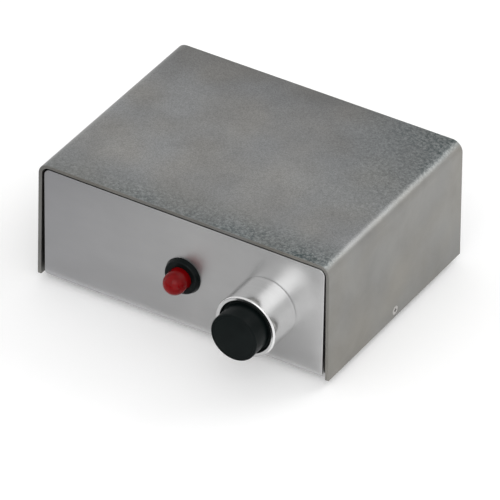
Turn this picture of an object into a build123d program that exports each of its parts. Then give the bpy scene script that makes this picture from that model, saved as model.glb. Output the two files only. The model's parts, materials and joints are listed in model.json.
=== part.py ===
"""Bench variable autotransformer (variac) in a bare sheet-metal case.

Everything is built in case coordinates, in millimetres: X runs across the front panel from
its middle, Y runs back from the panel's face, Z runs up from the chassis underside. The
export at the end shifts each piece so that the origin is under the middle of the whole
object, on the surface that its feet stand on.
"""
import os
from math import cos, radians, sin, tan

from build123d import *

# ---------------------------------------------------------------- case
SHEET = 2.0
CASE_WIDTH = 165.0          # across the tops of the cover walls
CASE_DEPTH = 126.0          # chassis, from panel face to panel face
REAR_INNER = CASE_DEPTH - SHEET
COVER_TOP = 66.9
COVER_LIP = 0.5             # the cover stands this far past each panel
COVER_BEND = 6.0            # outside radius
COVER_FOOT = 0.8            # lower edge of the cover walls
WALL_SPLAY = 1.0            # how far each cover wall leans out over its height
PANEL_HALF_WIDTH = 79.6
PANEL_TOP = 63.9
PANEL_CORNER = 3.4
CHASSIS_BEND = 4.0          # outside radius
EDGE_ROUND = 0.35           # rounding of the sheets' cut edges

# ---------------------------------------------------------------- screws and clearances
M4 = 2.0                    # screw radii
M3 = 1.5
M25 = 1.25
HEAD_EDGE = 0.15            # straight edge of a countersunk head
CLEAR = 0.1                 # extra radius of a clearance hole
SNUG = 0.03                 # extra radius of a bore that only holds a piece
FLAT_HEAD = 2.4
COVER_SCREW_Y = CASE_DEPTH / 2
COVER_SCREW_Z = 4.5
BLOCK_SCREW_X = 71.5
BLOCK_INNER_X = 68.0
BLOCK_OUTER_X = 81.2
BLOCK_LENGTH = 12.0
BLOCK_TOP = 10.0
FOOT_HEIGHT = 3.0
FOOT_RADIUS = 6.5
FOOT_X = 65.0
FOOT_INSET = 15.0

# ---------------------------------------------------------------- front controls
CONTROL_Z = 31.0            # height of the lamp and of the variac's axis
KNOB_X = 47.9
COLLAR_RADIUS = 16.6
COLLAR_WALL = 2.3
COLLAR_LENGTH = 20.0
COLLAR_SCREW_CIRCLE = 11.0
KNOB_RADIUS = 12.8
KNOB_FRONT = 31.0           # reach of the knob in front of the panel
KNOB_BACK = 5.0
SKIRT_RADIUS = 14.0         # the part of the knob that fills the collar's mouth
SKIRT_FRONT = 18.8
KNOB_EDGE = 0.9
CAP_RADIUS = 11.5
CAP_DOME = 0.4
LAMP_X = 0.5
BEZEL_RADIUS = 10.0
BEZEL_FRONT_RADIUS = 9.0
BEZEL_DEPTH = 2.6
BEZEL_BORE = 6.25
LAMP_THREAD = 7.4
LEAD_SPREAD = 0.95          # of each lamp lead from the lamp's axis
LENS_RADIUS = 6.0
LENS_SHOULDER = 7.4         # where the lens cylinder turns into its dome
LENS_WALL = 0.9

# ---------------------------------------------------------------- variac
SHAFT_RADIUS = 3.0
SHAFT_FRONT = -25.0
SHAFT_REAR = 54.0
BEARING_GAP = 0.03          # radial running clearance
BASE_RADIUS = 27.0
BASE_BACK = 5.5
HUB_RADIUS = 6.8
HUB_BORE = 4.5
HUB_BACK = 39.5
BUSH_LENGTH = 8.0
BUSH_FLANGE = 1.1
WINDING_INNER = 11.4
WINDING_OUTER = 27.8
WINDING_FRONT = 7.0
WINDING_BACK = 34.0
WINDING_BUILD = 1.5         # thickness of the layer of turns
WINDING_GAP = 26.0          # degrees left bare at the bottom
CLAMP_BACK = 35.6
TRAVEL = 320.0              # degrees of knob rotation
ARM_TURN = 360.0 - TRAVEL / 2   # arm direction at zero output, clockwise from the top
STOP_CIRCLE = 12.0
STOP_PIN = 2.0
TRACK_RADIUS = 20.0
ARM_FRONT = 44.0
ARM_BACK = 46.0
ARM_WIDTH = 12.0
HUB_NOSE = 9.5
HUB_NECK = 7.0
HOLDER_RADIUS = 4.2
HOLDER_FRONT = 37.0
HOLDER_BACK = 47.5
BRUSH_SIDE = 4.5
BRUSH_FRONT = 34.25
BRUSH_BACK = 42.0
RING_BACK = 47.4
WIPER_SCREW_Y = 61.0
PAD_TOP = 5.0
LEAF = 0.5

# ---------------------------------------------------------------- rear panel and wiring
INLET_X = -52.0
FUSE_X = -14.0
SWITCH_X = 14.0
OUTLET_X = 52.0
FLANGE = 3.0
CONNECTOR_SCREW = 20.0      # fixing screws either side of a connector's middle
CONNECTOR_BACK = 104.0      # inner end of the connector bodies
BLADE_SPREAD = 7.0
BLADE_OFFSET = 2.0          # earth blade above, power blades below the middle
FUSE_CAP_REACH = 11.0
FUSE_THREAD = 6.0
SWITCH_TILT = 9.0           # degrees either side of level
SWITCH_PIVOT_Y = 124.0
PIVOT_RADIUS = 1.25
STUD_X = -66.0
STUD_Y = 92.0
TERMINAL_Y = 72.0
TERMINAL_SCREW_X = -12.0
TERMINAL_Z = 7.0
TERMINAL_HALF = 8.0         # half the length of the terminal block's ways
WAYS = [-24.0, -16.0, -8.0, 0.0]
WIRE = 1.1                  # radius of insulated hook-up wire
LEAD = 0.8                  # radius of winding and lamp leads

# Rectangular cuts in the rear panel: middle, half width, half height.
PANEL_CUTS = [(INLET_X, 13.6, 10.0), (OUTLET_X, 16.0, 12.5), (SWITCH_X, 6.5, 9.6)]
Y_MIDDLE = (CASE_DEPTH + FUSE_CAP_REACH - KNOB_FRONT) / 2


# ---------------------------------------------------------------- helpers
def rod(radius, y0, y1, x=0.0, z=0.0):
    """A round bar along Y."""
    return Pos(x, (y0 + y1) / 2, z) * Rot(90, 0, 0) * Cylinder(radius, y1 - y0)


def ring(outer, inner, y0, y1, x=0.0, z=0.0):
    """A plain tube along Y."""
    return rod(outer, y0, y1, x, z) - rod(inner, y0 - 1, y1 + 1, x, z)


def block(x0, x1, y0, y1, z0, z1):
    """A box between two corners."""
    middle = Pos((x0 + x1) / 2, (y0 + y1) / 2, (z0 + z1) / 2)
    return middle * Box(x1 - x0, y1 - y0, z1 - z0)


def turned(points, rounds=()):
    """A solid turned about the Y axis from (radius, y) points, with rounded corners."""
    section = make_face(Polyline(*points, close=True))
    for corner, radius in rounds:
        vertex = section.vertices().sort_by_distance((*corner, 0))[0]
        section = fillet(vertex, radius)
    return revolve(section, Axis.Y)


def along_y(sketch, y0, y1):
    """A sketch in (x, z), drawn out along Y."""
    return extrude(Plane.XZ.offset(-y0) * sketch, amount=y0 - y1)


def along_x(sketch, x0, x1):
    """A sketch in (y, z), drawn out along X."""
    return extrude(Plane.YZ.offset(x0) * sketch, amount=x1 - x0)


def hexagon(across_flats, bore, y0, y1):
    """A hexagon nut whose axis is the Y axis."""
    outline = RegularPolygon(across_flats / 2, 6, major_radius=False)
    return along_y(outline, y0, y1) - rod(bore, y0 - 1, y1 + 1)


def cross_recess(width, depth):
    """The cut of a crosshead recess, reaching depth below Z = 0."""
    slot = Box(width, width / 4.5, 2 * depth)
    return slot + Rot(0, 0, 90) * slot


def pan_screw(head_radius, head_height, shank_radius, length):
    """A pan-head screw standing on Z = 0: the head above, the shank below."""
    head = Pos(0, 0, head_height / 2) * Cylinder(head_radius, head_height)
    head = fillet(head.edges().group_by(Axis.Z)[-1], head_height * 0.4)
    shank = Pos(0, 0, -length / 2) * Cylinder(shank_radius, length)
    return head + shank - Pos(0, 0, head_height) * cross_recess(head_radius, head_height / 2)


def countersink(head_radius, shank_radius, length, edge):
    """A cone over a shank, hanging under Z = 0, with a short straight edge on top."""
    cone_foot = shank_radius - head_radius
    points = [(0, edge), (head_radius, edge), (head_radius, 0), (shank_radius, cone_foot),
              (shank_radius, -length), (0, -length)]
    return revolve(Plane.XZ * make_face(Polyline(*points, close=True)), Axis.Z)


def flat_screw(head_radius, shank_radius, length):
    """A countersunk screw whose face is at Z = 0."""
    screw = Pos(0, 0, -HEAD_EDGE) * countersink(head_radius, shank_radius, length, HEAD_EDGE)
    return screw - cross_recess(head_radius, head_radius * 0.35)


def flat_screw_hole(head_radius, shank_radius, length):
    """The hole that a countersunk screw sits in."""
    hole = countersink(head_radius + CLEAR, shank_radius + CLEAR, length, 4 * HEAD_EDGE)
    return Pos(0, 0, -HEAD_EDGE) * hole


def polar(x, z, radius, clockwise):
    """A point on a circle in a panel, clockwise from the top as seen from the front."""
    angle = radians(clockwise)
    return x + radius * sin(angle), z + radius * cos(angle)


def bends(points):
    """The largest tangent arcs that the runs between these points leave room for."""
    corners = [Vector(*point) for point in points]
    runs = [after - before for before, after in zip(corners, corners[1:])]
    radii = []
    for before, after in zip(runs, runs[1:]):
        half_turn = radians(before.get_angle(after)) / 2
        radii.append(0.45 * min(before.length, after.length) / tan(half_turn))
    return radii


def wire(radius, *points):
    """An insulated wire: straight runs joined by tangent arcs."""
    path = FilletPolyline(*points, radius=bends(points))
    start = Plane(origin=points[0], z_dir=path % 0)
    return sweep(start * Circle(radius), path)


def group(pieces):
    """Several separate solids in one node."""
    return Compound([piece.solid() for piece in pieces])


def on_variac(shape):
    """Move a piece drawn about the Y axis onto the variac's axis."""
    return Pos(KNOB_X, 0, CONTROL_Z) * shape


def on_rotor(shape):
    """Move a piece drawn with the brush arm straight up to its place at zero output."""
    return on_variac(Rot(0, ARM_TURN, 0) * shape)


def on_lamp(shape):
    return Pos(LAMP_X, 0, CONTROL_Z) * shape


# ---------------------------------------------------------------- where repeated pieces go
def foot_places():
    return [(x, y) for x in (-FOOT_X, FOOT_X) for y in (FOOT_INSET, CASE_DEPTH - FOOT_INSET)]


def block_screw_places():
    return [(x, COVER_SCREW_Y) for x in (BLOCK_SCREW_X, -BLOCK_SCREW_X)]


def collar_screw_places():
    return [polar(KNOB_X, CONTROL_Z, COLLAR_SCREW_CIRCLE, turn) for turn in (60, 180, 300)]


def connector_screw_places():
    return [x + side for x in (INLET_X, OUTLET_X) for side in (-CONNECTOR_SCREW, CONNECTOR_SCREW)]


def blade_places():
    """Offsets of the two power blades and the earth blade from a connector's middle."""
    return [(-BLADE_SPREAD, -BLADE_OFFSET), (BLADE_SPREAD, -BLADE_OFFSET), (0, BLADE_OFFSET)]


def on_cover_walls(piece):
    """Copies of a piece drawn along Z, pointing out of the right and left cover walls."""
    lean = WALL_SPLAY / (COVER_TOP - COVER_FOOT)
    wall_x = CASE_WIDTH / 2 + lean * (COVER_TOP - COVER_SCREW_Z) - 0.05
    right = Pos(wall_x, COVER_SCREW_Y, COVER_SCREW_Z) * Rot(0, 90, 0) * piece
    left = Pos(-wall_x, COVER_SCREW_Y, COVER_SCREW_Z) * Rot(0, -90, 0) * piece
    return [right, left]


# ---------------------------------------------------------------- case
def cover_outline(inset, foot):
    """The cover's outline in (x, z), moved in from its outside by inset."""
    lean = WALL_SPLAY / (COVER_TOP - COVER_FOOT)
    half = CASE_WIDTH / 2 - inset
    top = COVER_TOP - inset
    foot_half = half + lean * (top - foot)
    corners = [(-foot_half, foot), (-half, top), (half, top), (foot_half, foot)]
    outline = make_face(Polyline(*corners, close=True))
    return fillet(outline.vertices().group_by(Axis.Y)[-1], COVER_BEND - inset)


def make_cover():
    shell = cover_outline(0, COVER_FOOT) - cover_outline(SHEET, -10)
    cover = along_y(shell, -COVER_LIP, CASE_DEPTH + COVER_LIP)
    ends = cover.faces().sort_by(Axis.Y)
    cover = fillet(ends[0].edges() + ends[-1].edges(), EDGE_ROUND)
    for hole in on_cover_walls(flat_screw_hole(FLAT_HEAD, M25, 6)):
        cover -= hole
    return cover


def panel_holes():
    """Everything cut out of the front and rear panels."""
    front = (-1, SHEET + 1)
    rear = (REAR_INNER - 1, CASE_DEPTH + 1)
    holes = [rod(LAMP_THREAD + CLEAR, *front, LAMP_X, CONTROL_Z),
             rod(HUB_BORE + SNUG, *front, KNOB_X, CONTROL_Z),
             rod(FUSE_THREAD + CLEAR, *rear, FUSE_X, CONTROL_Z)]
    for x, z in collar_screw_places():
        holes.append(rod(M3 + CLEAR, *front, x, z))
    for x in connector_screw_places():
        holes.append(rod(M3 + CLEAR, *rear, x, CONTROL_Z))
    for x, half_width, half_height in PANEL_CUTS:
        holes.append(block(x - half_width, x + half_width, *rear,
                           CONTROL_Z - half_height, CONTROL_Z + half_height))
    return holes


def floor_hole(radius, x, y):
    return Pos(x, y, SHEET / 2) * Cylinder(radius, 2 * SHEET)


def make_chassis():
    middle = CASE_DEPTH / 2
    outside = Pos(middle, PANEL_TOP / 2) * Rectangle(CASE_DEPTH, PANEL_TOP)
    outside = fillet(outside.vertices().group_by(Axis.Y)[0], CHASSIS_BEND)
    inside = Pos(middle, PANEL_TOP / 2 + SHEET) * Rectangle(CASE_DEPTH - 2 * SHEET, PANEL_TOP)
    inside = fillet(inside.vertices().group_by(Axis.Y)[0], CHASSIS_BEND - SHEET)
    chassis = along_x(outside - inside, -PANEL_HALF_WIDTH, PANEL_HALF_WIDTH)
    face = Pos(0, PANEL_TOP / 2) * Rectangle(2 * PANEL_HALF_WIDTH, PANEL_TOP)
    face = fillet(face.vertices().group_by(Axis.Y)[-1], PANEL_CORNER)
    chassis = chassis & along_y(face, -1, CASE_DEPTH + 1)
    panels = chassis.faces().filter_by(Axis.Y).sort_by(Axis.Y)
    rims = [edge for panel in (panels[0], panels[-1]) for edge in panel.edges()
            if edge.center().Z > CHASSIS_BEND + 0.1]
    chassis = fillet(rims, EDGE_ROUND)
    for hole in panel_holes():
        chassis -= hole
    for x, y in foot_places():
        chassis -= floor_hole(M3 + CLEAR, x, y)
    sink = Rot(180, 0, 0) * flat_screw_hole(FLAT_HEAD, M25, 6)
    for x, y in block_screw_places():
        chassis -= Pos(x, y, 0) * sink
    chassis -= floor_hole(M25 + SNUG, TERMINAL_SCREW_X, TERMINAL_Y)
    chassis -= floor_hole(M25 + SNUG, KNOB_X, WIPER_SCREW_Y)
    chassis -= floor_hole(M4 + CLEAR, STUD_X, STUD_Y)
    return chassis


def make_screw_blocks():
    half = BLOCK_LENGTH / 2
    bores = on_cover_walls(Pos(0, 0, -5) * Cylinder(M25 + SNUG, 14))
    pieces = []
    for (x, y), bore in zip(block_screw_places(), bores):
        side = 1 if x > 0 else -1
        near, far = sorted((side * BLOCK_INNER_X, side * BLOCK_OUTER_X))
        piece = block(near, far, y - half, y + half, SHEET, BLOCK_TOP)
        piece -= Pos(x, y, SHEET) * Cylinder(M25 + SNUG, 14)
        pieces.append(piece - bore)
    return group(pieces)


def make_flat_screws():
    """Countersunk screws: two hold the cover, two hold the blocks that they screw into."""
    screw = flat_screw(FLAT_HEAD, M25, 8.5)
    upward = Rot(180, 0, 0) * screw
    return group(on_cover_walls(screw) + [Pos(x, y, 0) * upward for x, y in block_screw_places()])


def make_pan_screws():
    """Equal pan-head screws for the collar, the mains connectors and the feet."""
    screw = pan_screw(2.7, 1.6, M3, 7.4)
    forward = Rot(90, 0, 0) * screw
    backward = Rot(-90, 0, 0) * screw
    upward = Rot(180, 0, 0) * screw
    rear = CASE_DEPTH + FLANGE
    screws = [Pos(x, -SHEET, z) * forward for x, z in collar_screw_places()]
    screws += [Pos(x, rear, CONTROL_Z) * backward for x in connector_screw_places()]
    screws += [Pos(x, y, -1) * upward for x, y in foot_places()]
    return group(screws)


def make_nuts():
    """Nuts behind the mains connectors and on the foot screws."""
    rear = hexagon(5.5, M3 + SNUG, REAR_INNER - 2.4, REAR_INNER)
    level = Rot(90, 0, 0) * hexagon(5.5, M3 + SNUG, 0, 2.4)
    nuts = [Pos(x, 0, CONTROL_Z) * rear for x in connector_screw_places()]
    nuts += [Pos(x, y, SHEET) * level for x, y in foot_places()]
    return group(nuts)


def make_fixing_screws():
    """Short screws into the floor: one for the wiper, one for the terminal block."""
    seat = PAD_TOP + LEAF
    screw = pan_screw(1.8, 1.5, M25, seat - 0.3)
    return group([Pos(KNOB_X, WIPER_SCREW_Y, seat) * screw,
                  Pos(TERMINAL_SCREW_X, TERMINAL_Y, seat) * screw])


def make_feet():
    """Moulded feet, open below for the screw head, with a web that the head holds."""
    bore = M3 + 0.2
    well = 3.4
    section = [(bore, 0), (FOOT_RADIUS, 0), (FOOT_RADIUS - 0.8, -FOOT_HEIGHT),
               (well, -FOOT_HEIGHT), (well, -1), (bore, -1)]
    foot = revolve(Plane.XZ * make_face(Polyline(*section, close=True)), Axis.Z)
    return group([Pos(x, y, 0) * foot for x, y in foot_places()])


# ---------------------------------------------------------------- knob and collar
def make_knob_collar():
    """A bright turned cup that the knob stands in."""
    hole = HUB_BORE + SNUG
    inner = COLLAR_RADIUS - COLLAR_WALL
    rim = -COLLAR_LENGTH
    section = [(hole, 0), (COLLAR_RADIUS, 0), (COLLAR_RADIUS, rim), (inner, rim),
               (inner, -SHEET), (hole, -SHEET)]
    rounds = [((COLLAR_RADIUS, 0), 0.4), ((COLLAR_RADIUS, rim), 0.8), ((inner, rim), 0.5),
              ((inner, -SHEET), 0.3)]
    collar = on_variac(turned(section, rounds))
    for x, z in collar_screw_places():
        collar -= rod(M3 + CLEAR, -SHEET - 1, 1, x, z)
    return collar


def make_knob_body():
    """A round grip on a wider skirt that fills the collar's mouth with a running gap."""
    rim = -(KNOB_FRONT - CAP_DOME)
    bore = 5.6
    recess = CAP_RADIUS + 0.1
    section = [(bore, -KNOB_BACK), (SKIRT_RADIUS, -KNOB_BACK), (SKIRT_RADIUS, -SKIRT_FRONT),
               (KNOB_RADIUS, -SKIRT_FRONT), (KNOB_RADIUS, rim), (recess, rim),
               (recess, rim + 1.2), (bore, rim + 1.2)]
    rounds = [((KNOB_RADIUS, rim), KNOB_EDGE), ((SKIRT_RADIUS, -SKIRT_FRONT), 0.4),
              ((SKIRT_RADIUS, -KNOB_BACK), 0.6), ((KNOB_RADIUS, -SKIRT_FRONT), 0.3)]
    return on_variac(turned(section, rounds))


def make_knob_cap():
    """A slightly domed disc let into the front of the knob."""
    rim = -(KNOB_FRONT - CAP_DOME)
    edge = rim + 0.1
    seat = rim + 1.15
    dome = ThreePointArc((0, -KNOB_FRONT), (CAP_RADIUS / 2, -KNOB_FRONT + 0.13), (CAP_RADIUS, edge))
    sides = Polyline((CAP_RADIUS, edge), (CAP_RADIUS, seat), (0, seat), (0, -KNOB_FRONT))
    return on_variac(revolve(make_face([dome, sides]), Axis.Y))


def make_knob_collet():
    """A split brass collet that grips the shaft inside the knob."""
    bore = SHAFT_RADIUS + SNUG
    section = [(bore, -8), (5.5, -8), (5.5, -14), (4.6, -21.4), (bore, -21.4)]
    slot = block(-0.4, 0.4, -22, -11, 0, 6)
    return on_variac(turned(section) - slot)


def make_knob_collet_nut():
    return on_variac(hexagon(9, SHAFT_RADIUS + SNUG, -25.5, -21.6))


# ---------------------------------------------------------------- variac, fixed pieces
def make_variac_base():
    """Cast mounting plate with the long hub that carries the core and the bearings."""
    bore = HUB_BORE + SNUG
    section = [(bore, SHEET), (BASE_RADIUS, SHEET), (BASE_RADIUS, BASE_BACK),
               (HUB_RADIUS, BASE_BACK), (HUB_RADIUS, HUB_BACK), (bore, HUB_BACK)]
    rounds = [((BASE_RADIUS, BASE_BACK), 0.8)]
    base = on_variac(turned(section, rounds))
    for x, z in collar_screw_places():
        base -= rod(M3 + SNUG, SHEET - 1, BASE_BACK + 1, x, z)
    return base


def make_shaft_bushes():
    """Equal flanged bearings at the two ends of the hub; the front one starts in the collar."""
    bore = SHAFT_RADIUS + BEARING_GAP
    section = [(bore, 0), (HUB_BORE, 0), (HUB_BORE, BUSH_LENGTH), (6.2, BUSH_LENGTH),
               (6.2, BUSH_LENGTH + BUSH_FLANGE), (bore, BUSH_LENGTH + BUSH_FLANGE)]
    bush = turned(section)
    rear = Pos(0, HUB_BACK - BUSH_LENGTH, 0) * bush
    front = Pos(0, BUSH_LENGTH - SHEET, 0) * Rot(180, 0, 0) * bush
    return group([on_variac(front), on_variac(rear)])


def make_base_washer():
    return on_variac(ring(26.5, HUB_RADIUS + CLEAR, BASE_BACK, WINDING_FRONT - 0.1))


def make_toroid_core():
    """The strip-wound steel core; the turns and end insulators close round it."""
    front = WINDING_FRONT + WINDING_BUILD + 1.2
    back = WINDING_BACK - WINDING_BUILD - 1.2
    inner = WINDING_INNER + WINDING_BUILD + 0.8
    outer = WINDING_OUTER - WINDING_BUILD - 0.8
    section = [(inner, front), (outer, front), (outer, back), (inner, back)]
    return on_variac(turned(section, [(corner, 0.6) for corner in section]))


def make_core_insulators():
    inner = WINDING_INNER + WINDING_BUILD + 0.2
    outer = WINDING_OUTER - WINDING_BUILD - 0.2
    front = WINDING_FRONT + WINDING_BUILD + 0.1
    back = WINDING_BACK - WINDING_BUILD - 0.1
    return group([on_variac(ring(outer, inner, front, front + 1)),
                  on_variac(ring(outer, inner, back - 1, back))])


def make_winding():
    """The closed layer of turns round the core, bare of turns at the bottom."""
    centre_radius = (WINDING_INNER + WINDING_OUTER) / 2
    centre_y = (WINDING_FRONT + WINDING_BACK) / 2
    width = WINDING_OUTER - WINDING_INNER
    length = WINDING_BACK - WINDING_FRONT
    outside = fillet(Rectangle(width, length).vertices(), 1.6)
    hollow = Rectangle(width - 2 * WINDING_BUILD, length - 2 * WINDING_BUILD)
    section = Pos(centre_radius, centre_y) * (outside - hollow)
    sweep_angle = 360 - WINDING_GAP
    turns = revolve(section, Axis.Y, revolution_arc=sweep_angle)
    return on_variac(Rot(0, 90 + WINDING_GAP / 2, 0) * turns)


def make_stop_washer():
    """Clamping washer with the post that the turning arm's post stops against."""
    washer = ring(14.5, HUB_RADIUS + CLEAR, WINDING_BACK + 0.1, CLAMP_BACK)
    return on_variac(washer + rod(STOP_PIN, CLAMP_BACK, 42, 0, -STOP_CIRCLE))


def make_clamp_nut():
    return on_variac(hexagon(16, HUB_RADIUS + SNUG, CLAMP_BACK, CLAMP_BACK + 3))


# ---------------------------------------------------------------- variac, turning pieces
def make_shaft():
    shaft = rod(SHAFT_RADIUS, SHAFT_FRONT, SHAFT_REAR)
    ends = shaft.edges().filter_by(GeomType.CIRCLE)
    return on_variac(chamfer(ends, 0.4))


def make_rotor_hub():
    """Moulded hub that insulates the brush arm and the collector ring from the shaft."""
    bore = SHAFT_RADIUS + SNUG
    section = [(bore, 41), (HUB_NOSE, 41), (HUB_NOSE, ARM_FRONT), (HUB_NECK, ARM_FRONT),
               (HUB_NECK, 52), (bore, 52)]
    hub = turned(section, [((HUB_NECK, 52), 0.6)])
    hub -= Pos(0, 49.7, 5) * Cylinder(M3 + SNUG, 6)
    return on_rotor(hub)


def make_rotor_set_screw():
    screw = Pos(0, 0, 4.95) * Cylinder(M3, 3.7)
    screw -= Pos(0, 0, 6.8) * Box(0.6, 4, 1.4)
    return on_rotor(Pos(0, 49.7, 0) * screw)


def make_brush_arm():
    """Aluminium arm and heat spreader with the brush holder's hole and the stop post."""
    half = ARM_WIDTH / 2
    outline = Circle(14.5) + Pos(0, TRACK_RADIUS / 2) * Rectangle(ARM_WIDTH, TRACK_RADIUS)
    outline += Pos(0, TRACK_RADIUS) * Circle(half)
    outline -= Circle(HUB_NECK + SNUG)
    outline -= Pos(0, TRACK_RADIUS) * Circle(HOLDER_RADIUS + SNUG)
    post = rod(STOP_PIN, 38, ARM_FRONT, 0, STOP_CIRCLE)
    return on_rotor(along_y(outline, ARM_FRONT, ARM_BACK) + post)


def make_collector_ring():
    return on_rotor(ring(13, HUB_NECK + SNUG, ARM_BACK, RING_BACK))


def square_bar(side, y0, y1):
    """A square bar on the brush's own axis."""
    half = side / 2
    return block(-half, half, y0, y1, TRACK_RADIUS - half, TRACK_RADIUS + half)


def make_brush_holder():
    tube = rod(HOLDER_RADIUS, HOLDER_FRONT, HOLDER_BACK, 0, TRACK_RADIUS)
    bore = square_bar(BRUSH_SIDE + 0.2, HOLDER_FRONT - 1, HOLDER_BACK + 1)
    return on_rotor(tube - bore)


def make_carbon_brush():
    return on_rotor(square_bar(BRUSH_SIDE, BRUSH_FRONT, BRUSH_BACK))


def make_brush_spring():
    """The space of the coil spring behind the brush, as a plain sleeve."""
    sleeve = ring(1.9, 1.3, BRUSH_BACK + 0.05, HOLDER_BACK - 1.35, 0, TRACK_RADIUS)
    return on_rotor(sleeve)


def make_brush_cap():
    head = rod(HOLDER_RADIUS, HOLDER_BACK, HOLDER_BACK + 1.5, 0, TRACK_RADIUS)
    plug = rod(2.2, HOLDER_BACK - 1.3, HOLDER_BACK, 0, TRACK_RADIUS)
    slot = block(-3, 3, HOLDER_BACK + 0.8, HOLDER_BACK + 2, TRACK_RADIUS - 0.4,
                 TRACK_RADIUS + 0.4)
    return on_rotor(head + plug - slot)


# ---------------------------------------------------------------- output pick-up
def make_wiper_pad():
    pad = block(KNOB_X - 6, KNOB_X + 6, 53, 69, SHEET, PAD_TOP)
    return pad - Pos(KNOB_X, WIPER_SCREW_Y, SHEET) * Cylinder(M25 + CLEAR, 12)


def make_collector_wiper():
    """A spring leaf from its pad up to the back of the collector ring."""
    middle = PAD_TOP + LEAF / 2
    tip = RING_BACK + 0.3 + LEAF / 2
    path = FilletPolyline((66, middle), (54.25, middle), (54.25, 14), (tip, 20.3), (tip, 23.8),
                          radius=1.2)
    leaf = along_x(trace(path, line_width=LEAF), KNOB_X - 2.5, KNOB_X + 2.5)
    return leaf - Pos(KNOB_X, WIPER_SCREW_Y, PAD_TOP) * Cylinder(M25 + CLEAR, 4)


# ---------------------------------------------------------------- pilot lamp
def make_lamp_bezel():
    """Black bezel and threaded body in one moulding, closed behind but for the leads."""
    section = [(BEZEL_BORE, -BEZEL_DEPTH), (BEZEL_FRONT_RADIUS, -BEZEL_DEPTH), (BEZEL_RADIUS, 0),
               (LAMP_THREAD, 0), (LAMP_THREAD, 16), (2.1, 16), (2.1, 14), (BEZEL_BORE, 14)]
    return on_lamp(turned(section, [((BEZEL_FRONT_RADIUS, -BEZEL_DEPTH), 0.9)]))


def make_lamp_lens():
    """Hollow red lens: a short tube with a round end."""
    outside = rod(LENS_RADIUS, -LENS_SHOULDER, 3)
    outside += Pos(0, -LENS_SHOULDER, 0) * Sphere(LENS_RADIUS)
    inner = LENS_RADIUS - LENS_WALL
    hollow = rod(inner, -LENS_SHOULDER, 4) + Pos(0, -LENS_SHOULDER, 0) * Sphere(inner)
    return on_lamp(outside - hollow)


def make_neon_bulb():
    bulb = rod(2.9, -6, 6) + Pos(0, -6, 0) * Sphere(2.9)
    return on_lamp(bulb)


def make_lamp_nut():
    return on_lamp(hexagon(18.5, LAMP_THREAD + SNUG, SHEET, SHEET + 3))


def make_lamp_resistor():
    body = rod(1.5, 24, 31, -LEAD_SPREAD, 0)
    return on_lamp(fillet(body.edges().filter_by(GeomType.CIRCLE), 0.5))


# ---------------------------------------------------------------- mains connectors
def keyed_outline(width, height, cut):
    """A rectangle with its two upper corners cut off."""
    outline = Rectangle(width, height)
    return chamfer(outline.vertices().group_by(Axis.Y)[-1], cut)


def connector_flange(width, height):
    plate = fillet(Rectangle(width, height).vertices(), 3)
    for x in (-CONNECTOR_SCREW, CONNECTOR_SCREW):
        plate -= Pos(x, 0) * Circle(M3 + CLEAR)
    flange = along_y(plate, CASE_DEPTH, CASE_DEPTH + FLANGE)
    return flange


def make_mains_inlet():
    """Three-pin appliance inlet: a shrouded cavity with the blades standing in it."""
    inlet = connector_flange(50, 22.4)
    inlet += block(-13.4, 13.4, CONNECTOR_BACK, CASE_DEPTH, -9.8, 9.8)
    cavity_floor = CASE_DEPTH + FLANGE - 17
    inlet -= along_y(keyed_outline(24.6, 17, 4.5), cavity_floor, CASE_DEPTH + FLANGE + 1)
    for x, z in blade_places():
        inlet -= block(x - 1.03, x + 1.03, 100, 120, z - 2.03, z + 2.03)
    return Pos(INLET_X, 0, CONTROL_Z) * inlet


def make_inlet_blades():
    blades = []
    for x, z in blade_places():
        blade = block(x - 1, x + 1, CONNECTOR_BACK, CASE_DEPTH + 0.5, z - 2, z + 2)
        tab = block(x - 0.4, x + 0.4, 96, CONNECTOR_BACK, z - 2, z + 2)
        blades.append(Pos(INLET_X, 0, CONTROL_Z) * (blade + tab))
    return group(blades)


def make_mains_outlet():
    """Three-way appliance outlet: a slotted island in a moat for the plug's shroud."""
    outlet = connector_flange(50, 29)
    outlet += block(-15.8, 15.8, CONNECTOR_BACK, CASE_DEPTH, -12.3, 12.3)
    moat = keyed_outline(28.6, 20.6, 5.2) - keyed_outline(23.8, 15.8, 4.2)
    outlet -= along_y(moat, 114, CASE_DEPTH + FLANGE + 1)
    for x, z in blade_places():
        outlet -= block(x - 1.2, x + 1.2, 100, 140, z - 2.3, z + 2.3)
    return Pos(OUTLET_X, 0, CONTROL_Z) * outlet


def make_outlet_contacts():
    contacts = []
    for x, z in blade_places():
        clip = block(x - 1.1, x + 1.1, 106, 113, z - 2.2, z + 2.2)
        tab = block(x - 0.4, x + 0.4, 98, 106, z - 2.2, z + 2.2)
        contacts.append(Pos(OUTLET_X, 0, CONTROL_Z) * (clip + tab))
    return group(contacts)


# ---------------------------------------------------------------- fuse
def on_fuse(shape):
    return Pos(FUSE_X, 0, CONTROL_Z) * shape


def make_fuse_holder():
    mouth = CASE_DEPTH + 1.6
    section = [(4.1, mouth), (8, mouth), (8, CASE_DEPTH), (FUSE_THREAD, CASE_DEPTH),
               (FUSE_THREAD, 112), (5.4, 112), (5.4, 98), (0, 98), (0, 100), (4.1, 100)]
    return on_fuse(turned(section, [((8, mouth), 0.8)]))


def make_fuse_holder_nut():
    return on_fuse(hexagon(17, FUSE_THREAD + SNUG, REAR_INNER - 3, REAR_INNER))


def make_fuse_carrier():
    return on_fuse(ring(3.6, 2.7, 114, 122.6))


def make_fuse_link():
    """Glass tube and two end caps."""
    tube = ring(2.5, 2.1, 107, 116)
    ends = [rod(2.6, 101.5, 106.95), rod(2.6, 116.05, 121.5)]
    return group([on_fuse(piece) for piece in [tube] + ends])


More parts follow.
